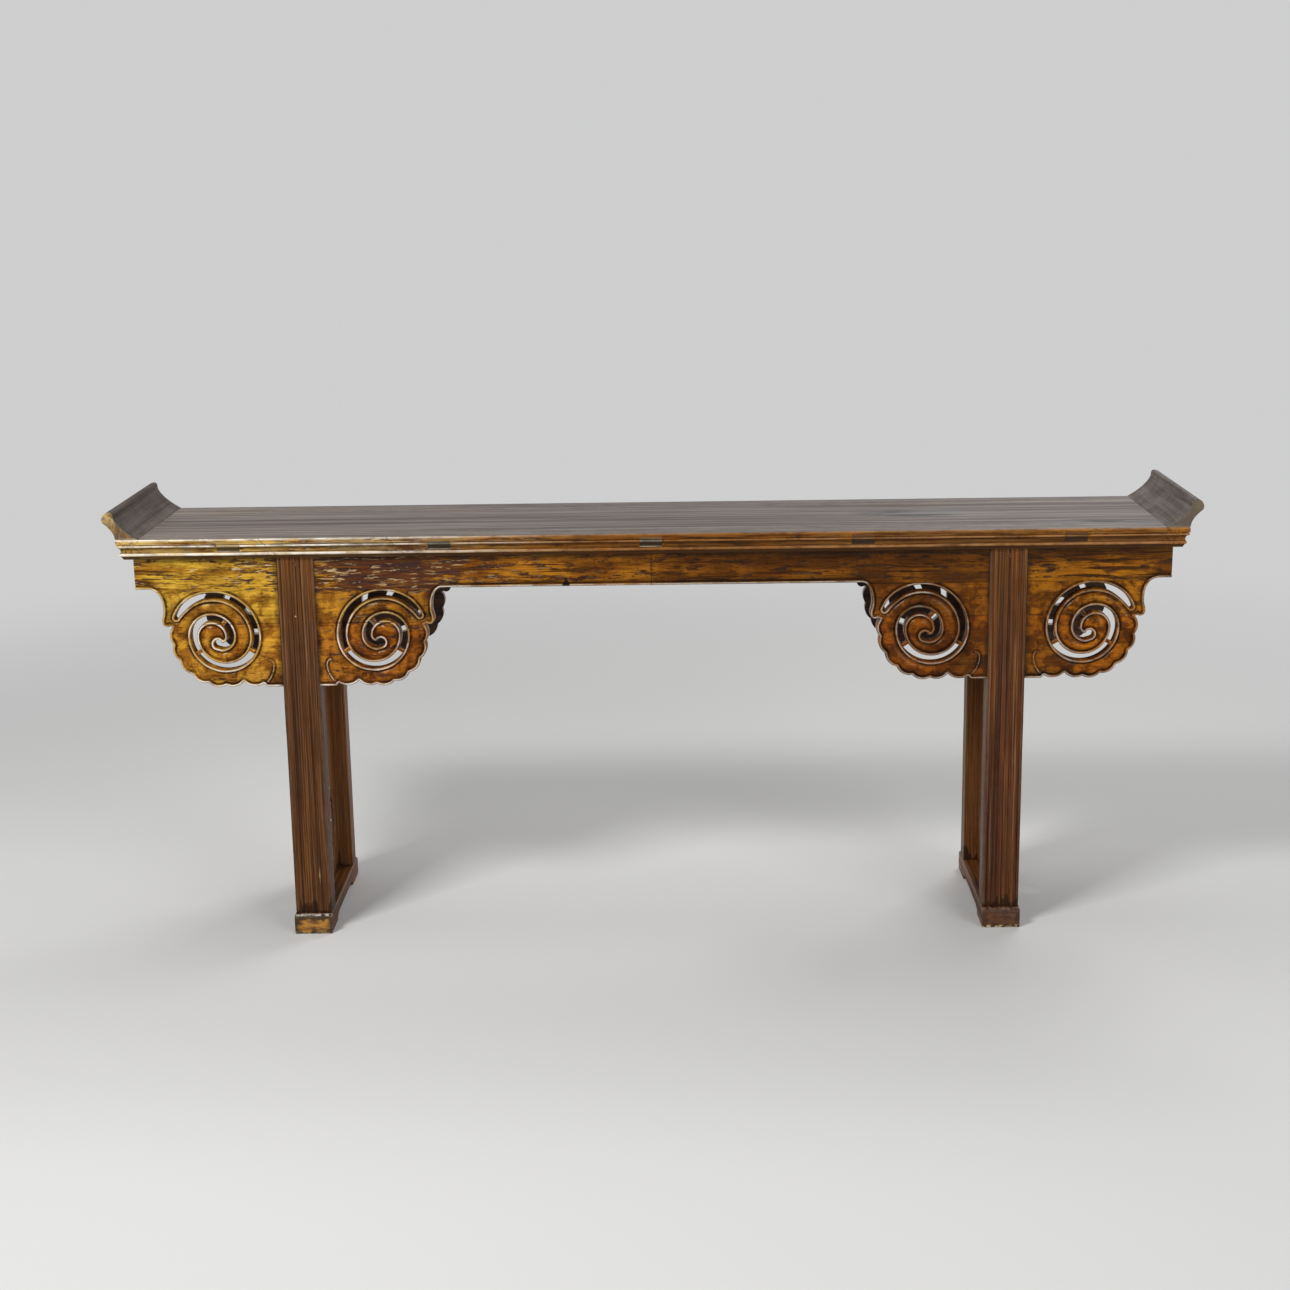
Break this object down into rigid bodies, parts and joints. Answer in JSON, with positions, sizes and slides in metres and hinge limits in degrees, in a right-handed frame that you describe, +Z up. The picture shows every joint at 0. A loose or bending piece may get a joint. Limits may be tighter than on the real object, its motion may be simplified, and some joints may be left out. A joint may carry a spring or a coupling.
{
  "type": "scribe table",
  "caption": "Long narrow recessed-leg table with everted end flanges, moulded edge, aprons with pierced cloud spandrels, reeded legs on shoe feet and pierced end panels.",
  "frame": {"origin": "centre of the table's footprint, on the floor", "axes": "+X along the table to the viewer's right when facing its front, +Y from the front to the rear, +Z up"},
  "size_m": [2.239, 0.385, 0.9175],
  "materials": {
    "worn_top": "old grey-brown lacquer, worn matt",
    "golden_lacquer": "amber lacquer, rubbed through to darker wood in streaks",
    "dark_leg": "dark brown lacquer, satin",
    "end_grain": "dark end grain, dull"
  },
  "bodies": {
    "root": {"apron_front_left": "golden_lacquer", "apron_front_right": "golden_lacquer", "apron_left_end": "golden_lacquer", "apron_rear_left": "golden_lacquer", "apron_rear_right": "golden_lacquer", "apron_right_end": "golden_lacquer", "cross_rail_left": "dark_leg", "cross_rail_right": "dark_leg", "end_panel_left": "dark_leg", "end_panel_right": "dark_leg", "leg_front_left": "dark_leg", "leg_front_right": "dark_leg", "leg_rear_left": "dark_leg", "leg_rear_right": "dark_leg", "peg_front_left": "dark_leg", "peg_front_right": "dark_leg", "peg_rear_left": "dark_leg", "peg_rear_right": "dark_leg", "shoe_left": "dark_leg", "shoe_right": "dark_leg", "spandrel_front_left": "golden_lacquer", "spandrel_front_right": "golden_lacquer", "spandrel_rear_left": "golden_lacquer", "spandrel_rear_right": "golden_lacquer", "top_batten_1": "end_grain", "top_batten_2": "end_grain", "top_batten_3": "end_grain", "top_batten_4": "end_grain", "top_batten_5": "end_grain", "top_front_rail": "golden_lacquer", "top_left_end": "worn_top", "top_panel": "worn_top", "top_rear_rail": "golden_lacquer", "top_right_end": "worn_top"}
  },
  "joints": []
}
